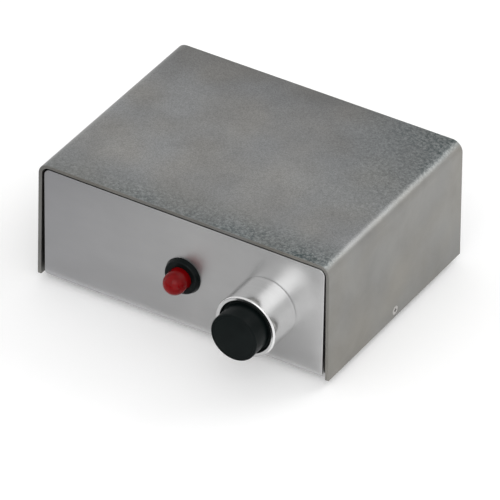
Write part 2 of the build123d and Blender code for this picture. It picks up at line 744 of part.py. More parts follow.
def make_fuse_cap():
    """Finger grip of the fuse carrier: fluted round the side, slotted across the end."""
    end = CASE_DEPTH + FUSE_CAP_REACH
    under = CASE_DEPTH + 1.9
    section = [(0, end), (6.4, end), (6.4, under), (3.7, under), (3.7, 123), (0, 123)]
    cap = turned(section, [((6.4, end), 0.9)])
    for index in range(12):
        x, z = polar(0, 0, 6.9, index * 30)
        cap -= rod(0.9, under + 1.5, end + 1, x, z)
    cap -= block(-4.5, 4.5, end - 1.2, end + 1, -0.6, 0.6)
    return on_fuse(cap)


# ---------------------------------------------------------------- power switch
def on_switch(shape):
    return Pos(SWITCH_X, 0, CONTROL_Z) * shape


def make_switch_housing():
    bezel = block(-7.5, 7.5, CASE_DEPTH, CASE_DEPTH + 2, -10.5, 10.5)
    bezel = fillet(bezel.edges().group_by(Axis.Y)[-1], 0.8)
    housing = bezel + block(-6.4, 6.4, 106, CASE_DEPTH, -9.5, 9.5)
    housing -= block(-5.1, 5.1, 112, CASE_DEPTH + 3, -8.35, 8.35)
    pivot = Rot(0, 90, 0) * Cylinder(PIVOT_RADIUS + 0.05, 11.6)
    return on_switch(housing - Pos(0, SWITCH_PIVOT_Y, 0) * pivot)


def make_switch_rocker():
    """A shallow V on two trunnions, drawn level and then tipped to off."""
    outline = Polyline((-3, -7), (-3, 7), (4.5, 7.4), (3.4, 0), (4.5, -7.4), close=True)
    rocker = along_x(make_face(outline), -4.8, 4.8)
    rocker = fillet(rocker.edges().group_by(Axis.Y)[-1], 0.5)
    rocker += Rot(0, 90, 0) * Cylinder(PIVOT_RADIUS, 11.4)
    return on_switch(Pos(0, SWITCH_PIVOT_Y, 0) * Rot(-SWITCH_TILT, 0, 0) * rocker)


def make_spade_tabs():
    """Equal solder tabs: end and side of the fuse holder, and the two of the switch."""
    tab = block(-2.4, 2.4, 0, 7, -0.4, 0.4)
    upright = Pos(0, 108, -5.4) * Rot(-90, 0, 0) * tab
    return group([on_fuse(Pos(0, 91, 0) * tab), on_fuse(upright),
                  on_switch(Pos(0, 99, 5) * tab), on_switch(Pos(0, 99, -5) * tab)])


# ---------------------------------------------------------------- terminal block and earth
def make_terminal_block():
    """Four-way screw terminal block, its two middle ways linked to their neighbours."""
    body = block(WAYS[0] - 4.5, WAYS[-1] + 4.5, TERMINAL_Y - TERMINAL_HALF,
                 TERMINAL_Y + TERMINAL_HALF, SHEET, 13)
    body = fillet(body.edges().group_by(Axis.Z)[-1], 0.8)
    for x in WAYS:
        body -= rod(2, TERMINAL_Y - 10, TERMINAL_Y + 10, x, TERMINAL_Z)
        for y in terminal_screw_rows():
            body -= Pos(x, y, 11) * Cylinder(1.3, 6)
    for first in (0, 2):
        body -= block(WAYS[first], WAYS[first + 1], 69.9, 74.1, 5.9, 8.1)
    body -= Pos(TERMINAL_SCREW_X, TERMINAL_Y, SHEET) * Cylinder(M25 + CLEAR, 30)
    seat = PAD_TOP + LEAF
    body -= Pos(TERMINAL_SCREW_X, TERMINAL_Y, seat + 5) * Cylinder(1.9, 10)
    return body


def terminal_screw_rows():
    return (TERMINAL_Y - 4.2, TERMINAL_Y + 4.2)


def make_terminal_clamps():
    """Two brass clamps, each a pair of wire tubes joined by a link."""
    clamps = []
    for first in (0, 2):
        left, right = WAYS[first], WAYS[first + 1]
        clamp = block(left, right, 70, 74, 6, 8)
        for x in (left, right):
            clamp += rod(1.95, 65, 79, x, TERMINAL_Z)
        for x in (left, right):
            clamp -= rod(1.3, 64, 80, x, TERMINAL_Z)
            for y in terminal_screw_rows():
                clamp -= Pos(x, y, TERMINAL_Z + 2) * Cylinder(1.25, 4)
        clamps.append(clamp)
    return group(clamps)


def make_terminal_screws():
    screw = Cylinder(1.2, 4.2) - Pos(0, 0, 2.1) * Box(3, 0.5, 1.2)
    return group([Pos(x, y, 10.5) * screw for x in WAYS for y in terminal_screw_rows()])


def make_earth_stud():
    return Pos(STUD_X, STUD_Y, 6) * Cylinder(M4, 12)


def make_earth_nuts():
    nut = Rot(90, 0, 0) * hexagon(7, M4 + SNUG, 0, 3.2)
    return group([Pos(STUD_X, STUD_Y, z) * nut for z in (SHEET, 6.9)])


def ring_lug(z, turn):
    """A ring tag round the stud at height z, its barrel turned from +Y."""
    tag = Cylinder(4.2, 0.8) + Pos(0, 6, 0) * Box(2.6, 5, 0.8)
    tag += rod(1.7, 7, 13)
    tag -= rod(WIRE + SNUG, 9, 14)
    tag -= Cylinder(M4 + CLEAR, 4)
    return Pos(STUD_X, STUD_Y, z) * Rot(0, 0, turn) * tag


def make_earth_lugs():
    return group([ring_lug(5.6, 180), ring_lug(6.45, -90)])


# ---------------------------------------------------------------- wiring
def blade_end(connector_x, blade, y):
    """The point behind a connector's blade where its wire starts."""
    x, z = blade_places()[blade]
    return connector_x + x, y, CONTROL_Z + z


def make_live_wires():
    """Inlet to fuse, fuse to switch, switch to terminal block, and wiper to outlet."""
    middle = CONTROL_Z
    to_fuse = wire(WIRE, blade_end(INLET_X, 1, 96), (-45, 86, 30), (-36, 79, 31),
                   (-22, 78, 33), (FUSE_X, 83, middle), (FUSE_X, 91, middle))
    side_tab = (FUSE_X, 108, middle - 12.4)
    to_switch = wire(WIRE, side_tab, (FUSE_X, 108, 14), (-6, 104, 9), (6, 95, 12),
                     (SWITCH_X, 88, 20), (SWITCH_X, 90, middle - 5), (SWITCH_X, 99, middle - 5))
    to_block = wire(WIRE, (SWITCH_X, 99, middle + 5), (SWITCH_X, 89, middle + 5), (4, 84, 34),
                    (-10, 88, 26), (WAYS[1], 92, 14), (WAYS[1], 87, TERMINAL_Z),
                    (WAYS[1], 77, TERMINAL_Z))
    start = PAD_TOP + WIRE + 0.05
    output = wire(WIRE, (KNOB_X, 66, start), (KNOB_X, 74, start + 1), (46, 82, 14), (45, 86, 25),
                  (45, 91, 30), blade_end(OUTLET_X, 0, 98))
    return group([to_fuse, to_switch, to_block, output])


def make_neutral_wires():
    """Inlet to the terminal block, and the terminal block to the outlet."""
    from_inlet = wire(WIRE, blade_end(INLET_X, 0, 96), (-59, 86, 30), (-50, 79, 17),
                      (-36, 86, 7), (-20, 97, 4.5), (-10, 94, 5), (WAYS[2], 86, TERMINAL_Z),
                      (WAYS[2], 77, TERMINAL_Z))
    to_outlet = wire(WIRE, (WAYS[3], 77, TERMINAL_Z), (WAYS[3], 86, TERMINAL_Z), (10, 93, 5),
                     (30, 97, 4), (54, 98, 5), (66, 92, 12), (66, 87, 23), (59, 89, 30),
                     blade_end(OUTLET_X, 1, 98))
    return group([from_inlet, to_outlet])


def make_earth_wires():
    """Inlet earth and outlet earth, each to the stud on the floor."""
    from_inlet = wire(WIRE, blade_end(INLET_X, 2, 96), (INLET_X, 86, 34), (-57, 76, 27),
                      (STUD_X, 68, 15), (STUD_X, 72, 5.6), (STUD_X, STUD_Y - 9, 5.6))
    from_outlet = wire(WIRE, blade_end(OUTLET_X, 2, 98), (OUTLET_X, 89, 34), (48, 82, 42),
                       (37, 86, 47), (29, 96, 38), (28, 106, 22), (24, 111, 8), (6, 112, 4),
                       (-20, 110, 4), (-40, STUD_Y, 6.45), (STUD_X + 9, STUD_Y, 6.45))
    return group([from_inlet, from_outlet])


def make_winding_leads():
    """From the two ends of the winding to the middle ways of the terminal block."""
    end_turn = WINDING_GAP / 2 + 3
    y = WINDING_BACK
    start_x, start_z = polar(KNOB_X, CONTROL_Z, 27, 180 + end_turn)
    end_x, end_z = polar(KNOB_X, CONTROL_Z, 27, 180 - end_turn)
    start = wire(LEAD, (start_x, y, start_z), (start_x, 40, 5.5), (30, 45, 4.5), (8, 47, 4),
                 (-10, 49, 4), (WAYS[1], 56, TERMINAL_Z), (WAYS[1], 67, TERMINAL_Z))
    end = wire(LEAD, (end_x, y, end_z), (end_x, 41, 4.2), (46, 48, 3.2), (24, 51, 3.2),
               (2, 53, 3.4), (WAYS[2], 58, TERMINAL_Z), (WAYS[2], 67, TERMINAL_Z))
    return group([start, end])


def make_lamp_leads():
    """From the bulb, one of them through the resistor, to the outer ways."""
    z = CONTROL_Z
    left = LAMP_X - LEAD_SPREAD
    right = LAMP_X + LEAD_SPREAD
    plain = wire(LEAD, (right, 6, z), (right, 19, z), (6, 30, 29), (5, 44, 20), (WAYS[3], 55, 9),
                 (WAYS[3], 60, TERMINAL_Z), (WAYS[3], 67, TERMINAL_Z))
    stub = rod(LEAD, 6, 24, left, z)
    after = wire(LEAD, (left, 31, z), (left, 38, z), (-14, 46, 26), (WAYS[0], 54, 12),
                 (WAYS[0], 59, TERMINAL_Z), (WAYS[0], 67, TERMINAL_Z))
    return group([plain, stub, after])


# ---------------------------------------------------------------- export
PIECES = {
    "cover": make_cover,
    "chassis": make_chassis,
    "flat_screws": make_flat_screws,
    "pan_screws": make_pan_screws,
    "nuts": make_nuts,
    "fixing_screws": make_fixing_screws,
    "screw_blocks": make_screw_blocks,
    "rubber_feet": make_feet,
    "knob_collar": make_knob_collar,
    "knob_body": make_knob_body,
    "knob_cap": make_knob_cap,
    "knob_collet": make_knob_collet,
    "knob_collet_nut": make_knob_collet_nut,
    "shaft": make_shaft,
    "shaft_bushes": make_shaft_bushes,
    "variac_base": make_variac_base,
    "base_washer": make_base_washer,
    "toroid_core": make_toroid_core,
    "core_insulators": make_core_insulators,
    "winding": make_winding,
    "stop_washer": make_stop_washer,
    "clamp_nut": make_clamp_nut,
    "rotor_hub": make_rotor_hub,
    "rotor_set_screw": make_rotor_set_screw,
    "brush_arm": make_brush_arm,
    "brush_holder": make_brush_holder,
    "carbon_brush": make_carbon_brush,
    "brush_spring": make_brush_spring,
    "brush_cap": make_brush_cap,
    "collector_ring": make_collector_ring,
    "collector_wiper": make_collector_wiper,
    "wiper_pad": make_wiper_pad,
    "lamp_bezel": make_lamp_bezel,
    "lamp_lens": make_lamp_lens,
    "neon_bulb": make_neon_bulb,
    "lamp_nut": make_lamp_nut,
    "lamp_resistor": make_lamp_resistor,
    "mains_inlet": make_mains_inlet,
    "inlet_blades": make_inlet_blades,
    "mains_outlet": make_mains_outlet,
    "outlet_contacts": make_outlet_contacts,
    "fuse_holder": make_fuse_holder,
    "fuse_holder_nut": make_fuse_holder_nut,
    "fuse_carrier": make_fuse_carrier,
    "fuse_link": make_fuse_link,
    "fuse_cap": make_fuse_cap,
    "switch_housing": make_switch_housing,
    "switch_rocker": make_switch_rocker,
    "spade_tabs": make_spade_tabs,
    "terminal_block": make_terminal_block,
    "terminal_clamps": make_terminal_clamps,
    "terminal_screws": make_terminal_screws,
    "earth_stud": make_earth_stud,
    "earth_nuts": make_earth_nuts,
    "earth_lugs": make_earth_lugs,
    "live_wires": make_live_wires,
    "neutral_wires": make_neutral_wires,
    "earth_wires": make_earth_wires,
    "winding_leads": make_winding_leads,
    "lamp_leads": make_lamp_leads,
}

os.makedirs("parts", exist_ok=True)
to_row_frame = Pos(0, -Y_MIDDLE, FOOT_HEIGHT)
for name, make in PIECES.items():
    export_step(to_row_frame * make(), f"parts/{name}.step")
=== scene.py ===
"""Looks of the bench variac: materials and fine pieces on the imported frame.

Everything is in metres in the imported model's frame. The camera stands where the photographer
did. Small dimensions are written in millimetres and turned into metres by mm().
"""
import json
from math import cos, pi, radians, sin

import bmesh
import bpy
from mathutils import Matrix, Vector


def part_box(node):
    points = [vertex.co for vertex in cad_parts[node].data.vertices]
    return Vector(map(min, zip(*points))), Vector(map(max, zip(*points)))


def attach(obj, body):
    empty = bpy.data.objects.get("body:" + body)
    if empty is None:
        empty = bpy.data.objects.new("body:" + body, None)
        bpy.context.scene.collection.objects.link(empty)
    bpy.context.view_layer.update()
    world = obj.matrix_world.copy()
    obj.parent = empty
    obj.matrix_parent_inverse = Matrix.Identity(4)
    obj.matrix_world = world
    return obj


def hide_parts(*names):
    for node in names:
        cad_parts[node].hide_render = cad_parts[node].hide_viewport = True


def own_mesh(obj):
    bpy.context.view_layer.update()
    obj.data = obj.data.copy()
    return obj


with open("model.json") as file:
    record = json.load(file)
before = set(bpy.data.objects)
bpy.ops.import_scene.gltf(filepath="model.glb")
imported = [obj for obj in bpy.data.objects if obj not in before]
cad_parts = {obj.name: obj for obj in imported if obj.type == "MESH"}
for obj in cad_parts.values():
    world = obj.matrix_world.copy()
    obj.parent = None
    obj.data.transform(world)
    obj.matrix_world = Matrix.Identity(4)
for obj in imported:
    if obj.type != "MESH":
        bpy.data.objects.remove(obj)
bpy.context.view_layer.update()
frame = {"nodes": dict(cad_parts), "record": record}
NODES = frame["nodes"]

# ---------------------------------------------------------------- dimensions, in millimetres
BUSH_FLANGE_RADIUS = 6.2
WINDING_TURNS = 130
WINDING_BARE = 26                 # degrees without turns, at the bottom
WINDING_INNER = 11.4              # radius of the hole through the winding
WIRE_DEPTH = 0.72                 # half the thickness of the layer of turns
WIRE_FILL = 0.46                  # half the wire's width as a share of the turns' pitch
TURN_BEND = 0.9                   # radius of each turn's four corners, to the wire's middle
TRACK_INNER, TRACK_OUTER = 16.8, 23.2      # radii of the bared ring that the brush runs on
TRACK_FADE = 0.4
TRACK_DEPTH = 0.6                 # how far down from the back face the bare metal reaches
TRACK_FULL_DEPTH = 0.4            # and down to where it is wholly bare
SPRING_WIRE = 0.22                # radius of the brush spring's wire
SPRING_COILS = 6
FUSE_CAP_LENGTH = 5.45
FUSE_CAP_RADIUS = 2.6
FUSE_CAP_MOUTH = 2.45             # radius of the cap's inner end
FUSE_CAP_CHAMFER = 0.25
FUSE_TUBE_OUTER, FUSE_TUBE_INNER = 2.5, 2.1
FUSE_TUBE_GAP = 0.05              # between the tube and each cap
FUSE_WIRE = 0.12                  # radius
BULB_RADIUS = 2.9
BULB_FOOT_MIDDLE = 0.4            # radius of the small disc that closes its back
BULB_FOOT_INSET = 0.4             # bevel of its rear edge, inwards
BULB_FOOT_HEIGHT = 0.5            # and forwards
ROD_RADIUS, ROD_TIP_RADIUS = 0.35, 0.2
ROD_SPREAD = 0.95                 # each electrode's distance from the bulb's axis
ROD_TIP = 2.55                    # from the bulb's front
ROD_SHOULDER = 2.75
ROD_FOOT = 1.0                    # from the bulb's back


def mm(*values):
    """Millimetres as metres: one number, or a vector of three."""
    if len(values) == 1:
        return values[0] / 1000
    return Vector(values) / 1000


def middle(node):
    """The middle of a CAD node's box."""
    low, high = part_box(node)
    return (Vector(low) + Vector(high)) / 2


# ---------------------------------------------------------------- camera
LENS = 435.17                     # mm, on a 36 mm sensor
AZIMUTH = radians(31.015)         # to the right of the front
ELEVATION = radians(35.271)
ROLL = radians(-1.006)
AIM = mm(0, 12.5, 36)
STAND_OFF = mm(2967.5)
STEP_RIGHT = mm(-1.18)
STEP_UP = mm(-21.23)


def add_camera():
    back = Vector((sin(AZIMUTH) * cos(ELEVATION), -cos(AZIMUTH) * cos(ELEVATION), sin(ELEVATION)))
    right = Vector((cos(AZIMUTH), sin(AZIMUTH), 0))
    up = back.cross(right)
    own_right = cos(ROLL) * right - sin(ROLL) * up
    own_up = sin(ROLL) * right + cos(ROLL) * up
    camera = bpy.data.objects.new("camera", bpy.data.cameras.new("camera"))
    camera.data.lens = LENS
    camera.data.clip_end = 20
    place = AIM + back * STAND_OFF + right * STEP_RIGHT + up * STEP_UP
    axes = Matrix((own_right, own_up, back)).transposed()
    camera.matrix_world = Matrix.Translation(place) @ axes.to_4x4()
    bpy.context.scene.collection.objects.link(camera)
    bpy.context.scene.camera = camera


# ---------------------------------------------------------------- node trees
NOISE_LOW, NOISE_HIGH = 0.3, 0.7  # most of a noise node's values lie between these
MIX_FIRST, MIX_SECOND = 6, 7      # the Mix node's colour inputs; it has others of the same name
MIX_COLOUR = 2                    # and its colour output


class Surface:
    """A material's node tree, with short calls for the nodes that these looks need."""

    def __init__(self, name, **sockets):
        self.material = bpy.data.materials.new(name)
        self.material.use_nodes = True
        self.tree = self.material.node_tree
        self.shader = self.tree.nodes["Principled BSDF"]
        for socket, value in sockets.items():
            self.shader.inputs[socket.replace("_", " ")].default_value = value
        self.place = self.add("ShaderNodeTexCoord").outputs["Object"]

    def add(self, kind, **sockets):
        """A node of that kind; a socket's value may be a number, a colour or another output."""
        node = self.tree.nodes.new(kind)
        for name, value in sockets.items():
            self.join(value, node.inputs[name.replace("_", " ")])
        return node

    def join(self, value, socket):
        if isinstance(value, bpy.types.NodeSocket):
            self.tree.links.new(value, socket)
        else:
            socket.default_value = value

    def feed(self, socket, output):
        self.tree.links.new(output, self.shader.inputs[socket])

    def stretched(self, x, y, z):
        """Object coordinates scaled along each axis, which draws a pattern out into streaks."""
        mapping = self.add("ShaderNodeMapping", Vector=self.place)
        mapping.inputs["Scale"].default_value = (x, y, z)
        return mapping.outputs["Vector"]

    def noise(self, size_mm, detail=3.0, rough=0.5, place=None, distortion=0.0):
        """Cloudy noise whose lumps are about size_mm across, from 0 to 1."""
        node = self.add("ShaderNodeTexNoise", Vector=place or self.place, Scale=1000 / size_mm,
                        Detail=detail, Roughness=rough, Distortion=distortion)
        return node.outputs["Fac"]

    def span(self, value, low, high, to_low=0.0, to_high=1.0):
        """value mapped from low..high to to_low..to_high, and held there."""
        node = self.add("ShaderNodeMapRange", Value=value, From_Min=low, From_Max=high,
                        To_Min=to_low, To_Max=to_high)
        return node.outputs["Result"]

    def math(self, operation, first, second):
        node = self.add("ShaderNodeMath")
        node.operation = operation
        self.join(first, node.inputs[0])
        self.join(second, node.inputs[1])
        return node.outputs[0]

    def ramp(self, value, *stops, interpolation="LINEAR"):
        """A colour ramp through (place, colour) stops."""
        node = self.add("ShaderNodeValToRGB", Fac=value)
        node.color_ramp.interpolation = interpolation
        elements = node.color_ramp.elements
        while len(elements) < len(stops):
            elements.new(0.5)
        for element, (place, colour) in zip(elements, stops):
            element.position = place
            element.color = (*colour, 1)
        return node.outputs["Color"]

    def drift(self, noise, first, second):
        """A colour that wanders from first to second with the noise."""
        return self.ramp(noise, (NOISE_LOW, first), (NOISE_HIGH, second))

    def waver(self, noise, low, high):
        """A number that wanders from low to high with the noise."""
        return self.span(noise, NOISE_LOW, NOISE_HIGH, low, high)

    def mix(self, factor, first, second, blend="MIX"):
        """first where the factor is 0, second (or their blend) where it is 1."""
        node = self.add("ShaderNodeMix")
        node.data_type = "RGBA"
        node.blend_type = blend
        self.join(factor, node.inputs["Factor"])
        self.join(first, node.inputs[MIX_FIRST])
        self.join(second, node.inputs[MIX_SECOND])
        return node.outputs[MIX_COLOUR]

    def bump(self, height, depth_mm, strength=1.0, normal=None):
        """A bump whose full height stands for depth_mm."""
        node = self.add("ShaderNodeBump", Height=height, Strength=strength,
                        Distance=depth_mm / 1000)
        if normal is not None:
            self.join(normal, node.inputs["Normal"])
        return node.outputs["Normal"]

    def axis(self, name):
        """One object coordinate, in metres."""
        return self.add("ShaderNodeSeparateXYZ", Vector=self.place).outputs[name]

    def radius(self, x, z):
        """Distance from the axis along Y through x, z, all in metres."""
        node = self.add("ShaderNodeVectorMath")
        node.operation = "DISTANCE"
        self.join(self.stretched(1, 0, 1), node.inputs[0])
        node.inputs[1].default_value = (x, 0, z)
        return node.outputs["Value"]

    def facing_up(self):
        """1 where the surface faces up, falling to 0 round a bend."""
        normal = self.add("ShaderNodeTexCoord").outputs["Normal"]
        up = self.add("ShaderNodeSeparateXYZ", Vector=normal).outputs["Z"]
        return self.span(up, 0.6, 0.97)

    def edge_of_top(self, clouds):
        """The darker patch on the cover's top: 1 near its right and front edges, else 0.

        It fades in from 62 to 6 mm off the right edge, more so towards the rear, and from 24 to
        2 mm off the front edge, more so towards the right. The clouds make it uneven.
        """
        low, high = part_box("cover")
        x, y = self.axis("X"), self.axis("Y")
        right = self.math("MULTIPLY", self.span(x, high[0] - mm(62), high[0] - mm(6)),
                          self.span(y, low[1] + mm(20), high[1]))
        front = self.math("MULTIPLY", self.span(y, low[1] + mm(24), low[1] + mm(2)),
                          self.span(x, low[0], high[0] - mm(20), 0.4, 1.0))
        nearest = self.math("MAXIMUM", right, front)
        cloudy = self.math("MULTIPLY", nearest, self.span(clouds, 0.25, 0.6, 0.5, 1.0))
        return self.math("MULTIPLY", cloudy, self.facing_up())


def grey(value, tint=0.0):
    """A grey, warmer for a positive tint and cooler for a negative one."""
    return (value * (1 + tint), value, value * (1 - tint))


def rgba(colour):
    """The colour with full alpha, as a socket takes it."""
    return (*colour, 1)


# ---------------------------------------------------------------- sheet metal
def cover_metal():
    """Bare coated sheet: fine speckle on soft clouds, darker and speckled near two of its edges.

    Painted shade darkens its top towards the rear, and its sides, which are smoother than its
    top.
    """
    s = Surface("cover_metal", Metallic=1.0)
    clouds = s.noise(26, detail=4, rough=0.55, distortion=0.3)
    speckle = s.noise(0.6, detail=2, rough=0.75)
    coarse = s.noise(1.6, detail=2, rough=0.8)
    tint = s.noise(33, detail=1)
    edge = s.edge_of_top(clouds)
    base = s.drift(clouds, grey(0.275), grey(0.345))
    warm = s.ramp(tint, (0.35, (0.98, 0.995, 1.0)), (0.65, (1.0, 0.985, 0.945)))
    base = s.mix(1.0, base, warm, "MULTIPLY")
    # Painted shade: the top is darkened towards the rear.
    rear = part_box("cover")[1][1]
    rearward = s.span(s.axis("Y"), rear - mm(52), rear)
    painted_rear_shade = s.ramp(rearward, (0, grey(1.0)), (1, grey(0.70)))
    base = s.mix(s.facing_up(), base, s.mix(1.0, base, painted_rear_shade, "MULTIPLY"))
    # A darker, bluish speckle near the top's right and front edges.
    dark_speckle = s.ramp(coarse, (0.38, (0.065, 0.088, 0.09)), (0.64, (0.29, 0.31, 0.31)))
    grain = s.ramp(speckle, (0.34, grey(0.66)), (0.66, grey(1.06)))
    # Painted shade: the sides are darker and a little warmer than the top, with less speckle.
    smoother_shaded_side = s.mix(0.2, rgba((0.86, 0.84, 0.80)), grain, "MULTIPLY")
    grain = s.mix(s.facing_up(), smoother_shaded_side, grain)
    s.feed("Base Color", s.mix(1.0, s.mix(edge, base, dark_speckle), grain, "MULTIPLY"))
    s.feed("Roughness", s.waver(speckle, 0.36, 0.5))
    s.feed("Normal", s.bump(clouds, 0.2, 0.15, s.bump(speckle, 0.02, 0.5)))
    return s.material


def panel_metal():
    """Smooth satin sheet with faint smears, darkened a little towards its upper left by painted
    shade.
    """
    s = Surface("panel_metal", Metallic=1.0)
    clouds = s.noise(38, detail=3, rough=0.5)
    smear = s.noise(9, detail=3, rough=0.55, place=s.stretched(0.4, 1, 1))
    low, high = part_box("chassis")
    # Painted shade: the panel is made darker towards its upper left.
    left = s.span(s.axis("X"), high[0] * 0.1, low[0])
    top = s.span(s.axis("Z"), low[2] + mm(8), high[2], 0.7, 1.0)
    painted_shade = s.math("MULTIPLY", left, top)
    bright = s.drift(clouds, grey(0.55), grey(0.59))
    base = s.mix(painted_shade, bright, rgba((0.40, 0.40, 0.415)))
    grain = s.drift(smear, grey(0.95), grey(1.0))
    s.feed("Base Color", s.mix(1.0, base, grain, "MULTIPLY"))
    s.feed("Roughness", s.waver(smear, 0.31, 0.35))
    return s.material


def plated(name, dark, light, roughness, grain_mm=0.6, depth=0.008, tint=0.0):
    """A plated or turned metal with fine grain and slightly uneven gloss."""
    s = Surface(name, Metallic=1.0, Roughness=roughness)
    grain = s.noise(grain_mm, detail=3, rough=0.6)
    clouds = s.noise(9, detail=2)
    s.feed("Base Color", s.drift(clouds, grey(dark, tint), grey(light, tint)))
    s.feed("Roughness", s.waver(grain, roughness * 0.75, roughness * 1.3))
    s.feed("Normal", s.bump(grain, depth, 0.4))
    return s.material


def zinc_steel():
    return plated("zinc_steel", 0.42, 0.52, 0.34, tint=0.03)


def chrome():
    """Bright turned metal: fine tool marks run round the axis."""
    s = Surface("chrome", Metallic=1.0)
    marks = s.noise(0.3, detail=2, place=s.stretched(0.02, 1, 0.02))
    s.feed("Base Color", s.drift(marks, grey(0.72), grey(0.82)))
    s.feed("Roughness", s.waver(marks, 0.12, 0.2))
    s.feed("Normal", s.bump(marks, 0.002, 0.3))
    return s.material


def cast_alloy():
    return plated("cast_alloy", 0.42, 0.55, 0.48, grain_mm=1.2, depth=0.05)


def core_steel():
    """Strip-wound core: the edges of the strip show as fine rings."""
    s = Surface("core_steel", Metallic=1.0, Roughness=0.45)
    rings = s.noise(0.35, detail=1, place=s.stretched(1, 0.02, 1))
    s.feed("Base Color", s.ramp(rings, (0.35, grey(0.16, -0.05)), (0.65, grey(0.3, -0.03))))
    s.feed("Normal", s.bump(rings, 0.05, 0.5))
    return s.material


def brass():
    s = Surface("brass", Metallic=1.0, Roughness=0.26)
    clouds = s.noise(6, detail=3)
    s.feed("Base Color", s.drift(clouds, (0.60, 0.42, 0.17), (0.80, 0.60, 0.27)))
    s.feed("Roughness", s.waver(s.noise(0.8), 0.2, 0.36))
    return s.material


# ---------------------------------------------------------------- plastics and the rest
def moulded(name, dark, light, roughness, grain_mm=0.5, depth=0.02, **sockets):
    """A moulded or extruded plastic: faint colour drift, fine surface texture."""
    s = Surface(name, Roughness=roughness, **sockets)
    grain = s.noise(grain_mm, detail=2, rough=0.6)
    clouds = s.noise(7, detail=2)
    s.feed("Base Color", s.drift(clouds, dark, light))
    s.feed("Roughness", s.waver(grain, roughness * 0.8, roughness * 1.2))
    s.feed("Normal", s.bump(grain, depth, 0.35))
    return s.material


def black_knob():
    return moulded("black_knob", (0.0025, 0.0045, 0.0045), (0.004, 0.0065, 0.0065), 0.36,
                   depth=0.008, Specular_IOR_Level=0.08)


def gloss_black():
    return moulded("gloss_black", (0.003, 0.005, 0.005), (0.005, 0.007, 0.007), 0.2, depth=0.003,
                   Specular_IOR_Level=0.1)


def red_lens():
    s = Surface("red_lens", Roughness=0.12, Transmission_Weight=0.2, IOR=1.49,
                Specular_IOR_Level=0.1)
    depth = s.noise(2.5, detail=2)
    s.feed("Base Color", s.drift(depth, (0.19, 0.0004, 0.0015), (0.24, 0.0006, 0.002)))
    return s.material


def glass():
    s = Surface("glass", Transmission_Weight=1.0, IOR=1.5)
    s.feed("Roughness", s.waver(s.noise(1.5), 0.0, 0.06))
    s.feed("Base Color", s.drift(s.noise(4), (0.93, 0.96, 0.95), (1, 1, 1)))
    return s.material


def fibre():
    s = Surface("fibre", Roughness=0.6)
    weave = s.noise(0.4, detail=4, rough=0.7)
    s.feed("Base Color", s.drift(weave, (0.10, 0.04, 0.014), (0.24, 0.11, 0.04)))
    s.feed("Normal", s.bump(weave, 0.03, 0.5))
    return s.material


def copper_winding():
    """Enamelled wire, ground bare in a ring on the back face where the brush runs."""
    s = Surface("copper_winding", Metallic=0.7, Coat_Roughness=0.15)
    clouds = s.noise(3, detail=3)
    low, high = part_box("winding")
    axis_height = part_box("shaft_bushes")[0][2] + mm(BUSH_FLANGE_RADIUS)
    out = s.radius((low[0] + high[0]) / 2, axis_height)
    band = s.math("MULTIPLY", s.span(out, mm(TRACK_INNER), mm(TRACK_INNER + TRACK_FADE)),
                  s.span(out, mm(TRACK_OUTER), mm(TRACK_OUTER - TRACK_FADE)))
    face = s.span(s.axis("Y"), high[1] - mm(TRACK_DEPTH), high[1] - mm(TRACK_FULL_DEPTH))
    bare = s.math("MULTIPLY", band, face)
    enamel = s.drift(clouds, (0.26, 0.065, 0.018), (0.46, 0.14, 0.04))
    s.feed("Base Color", s.mix(bare, enamel, rgba((0.80, 0.38, 0.22))))
    s.feed("Roughness", s.span(bare, 0, 1, 0.26, 0.38))
    s.feed("Coat Weight", s.span(bare, 0, 1, 0.8, 0.0))
    return s.material


def carbon():
    return moulded("carbon", (0.012, 0.012, 0.013), (0.03, 0.03, 0.032), 0.5, grain_mm=0.3)


def white_plastic():
    return moulded("white_plastic", (0.60, 0.59, 0.53), (0.72, 0.71, 0.66), 0.4,
                   Subsurface_Weight=0.1, Subsurface_Scale=0.002)


def black_rubber():
    return moulded("black_rubber", grey(0.012), grey(0.022), 0.7, grain_mm=0.6, depth=0.05)


def sleeved(name, dark, light):
    """Smooth, slightly shiny wire insulation."""
    return moulded(name, dark, light, 0.35, grain_mm=0.8, depth=0.01)


def brown_wire():
    return sleeved("brown_wire", (0.075, 0.024, 0.008), (0.10, 0.034, 0.012))


def blue_wire():
    return sleeved("blue_wire", (0.006, 0.03, 0.17), (0.01, 0.045, 0.24))


def earth_wire():
    """Green insulation with yellow bands."""
    s = Surface("earth_wire", Roughness=0.35)
    bands = s.add("ShaderNodeTexWave", Vector=s.place, Scale=70.0, Distortion=0.5)
    bands.bands_direction = "DIAGONAL"
    green, yellow = (0.02, 0.20, 0.02), (0.65, 0.55, 0.02)
    s.feed("Base Color", s.ramp(bands.outputs["Fac"], (0.45, green), (0.55, yellow)))
    return s.material


def lead_sleeve():
    return sleeved("lead_sleeve", (0.42, 0.34, 0.14), (0.54, 0.46, 0.22))


def resistor_body():
    """Tan lacquer with four colour bands round it."""
    s = Surface("resistor_body", Roughness=0.3)
    low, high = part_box("lamp_resistor")
    along = s.span(s.axis("Y"), low[1], high[1])
    tan = (0.48, 0.30, 0.14)
    stops = [(0.0, tan)]
    for start, end, colour in ((0.2, 0.3, (0.25, 0.02, 0.01)), (0.38, 0.48, (0.6, 0.2, 0.01)),
                               (0.56, 0.66, (0.6, 0.5, 0.02)), (0.8, 0.88, (0.5, 0.36, 0.1))):
        stops += [(start, colour), (end, tan)]
    s.feed("Base Color", s.ramp(along, *stops, interpolation="CONSTANT"))
    s.feed("Normal", s.bump(s.noise(0.5), 0.01, 0.4))
    return s.material


LOOKS = {make.__name__: make() for make in (
    cover_metal, panel_metal, zinc_steel, chrome, cast_alloy, core_steel, brass, black_knob,
    gloss_black, red_lens, glass, fibre, copper_winding, carbon, white_plastic, black_rubber,
    brown_wire, blue_wire, earth_wire, lead_sleeve, resistor_body)}


